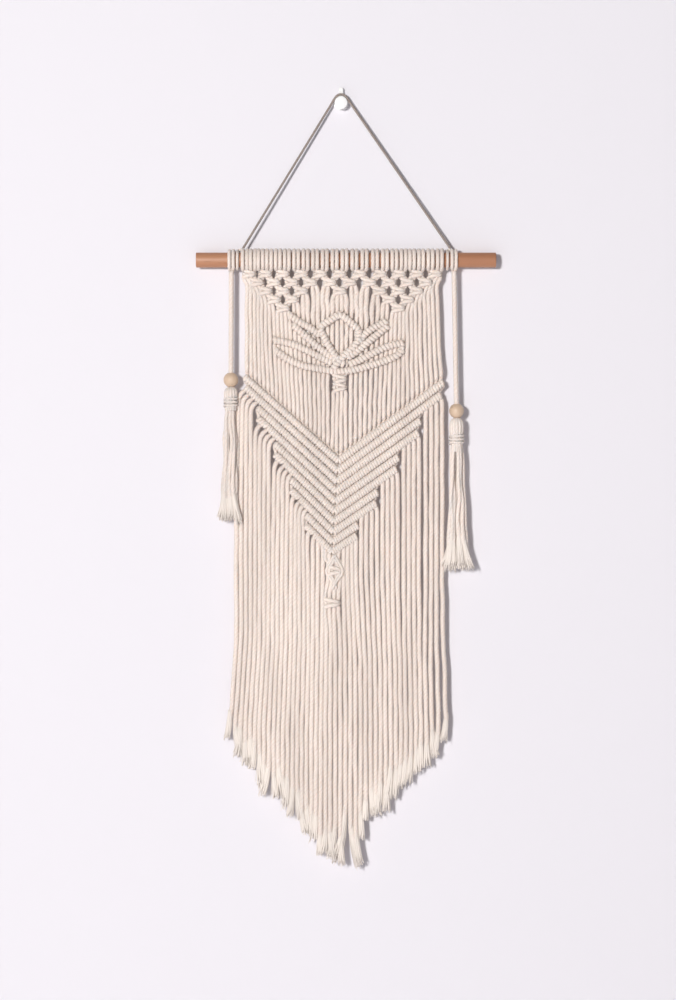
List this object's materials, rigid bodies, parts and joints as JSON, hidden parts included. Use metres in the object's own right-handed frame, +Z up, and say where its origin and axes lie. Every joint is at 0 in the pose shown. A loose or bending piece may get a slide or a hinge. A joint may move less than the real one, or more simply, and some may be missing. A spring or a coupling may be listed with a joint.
{
  "type": "macrame wall hanging with dowel, wall hook, beads and tassels",
  "caption": "Macrame wall hanging: a knotted cotton panel with a water lily, a stepped chevron and a pointed fringe, on a wooden dowel that a cord hangs from a wall hook",
  "frame": {"origin": "middle of the hook's back plate, on the wall", "axes": "+X to the viewer's right along the dowel, +Y into the wall, +Z up; everything hangs in front of the wall at negative Y"},
  "size_m": [0.3, 0.0269, 0.7786],
  "materials": {
    "dowel": "smooth stained wood",
    "wall_hook": "white moulded plastic",
    "hanger_cord": "thin twisted cotton cord",
    "hanger_tie_left": "thin twisted cotton cord, wound",
    "hanger_tie_right": "thin twisted cotton cord, wound",
    "macrame_panel": "twisted three-ply cotton cord, knotted",
    "side_loop_left": "twisted cotton cord, knotted",
    "side_loop_right": "twisted cotton cord, knotted",
    "side_cord_left": "twisted cotton cord",
    "side_cord_right": "twisted cotton cord",
    "bead_left": "turned pale wood, satin",
    "bead_right": "turned pale wood, satin",
    "tassel_left": "cotton strands, bound and trimmed",
    "tassel_right": "cotton strands, bound and trimmed"
  },
  "bodies": {
    "root": {"dowel": "dowel", "wall_hook": "wall_hook", "hanger_cord": "hanger_cord", "hanger_tie_left": "hanger_tie_left", "hanger_tie_right": "hanger_tie_right", "macrame_panel": "macrame_panel", "side_loop_left": "side_loop_left", "side_loop_right": "side_loop_right", "side_cord_left": "side_cord_left", "side_cord_right": "side_cord_right", "bead_left": "bead_left", "bead_right": "bead_right", "tassel_left": "tassel_left", "tassel_right": "tassel_right"}
  },
  "joints": []
}
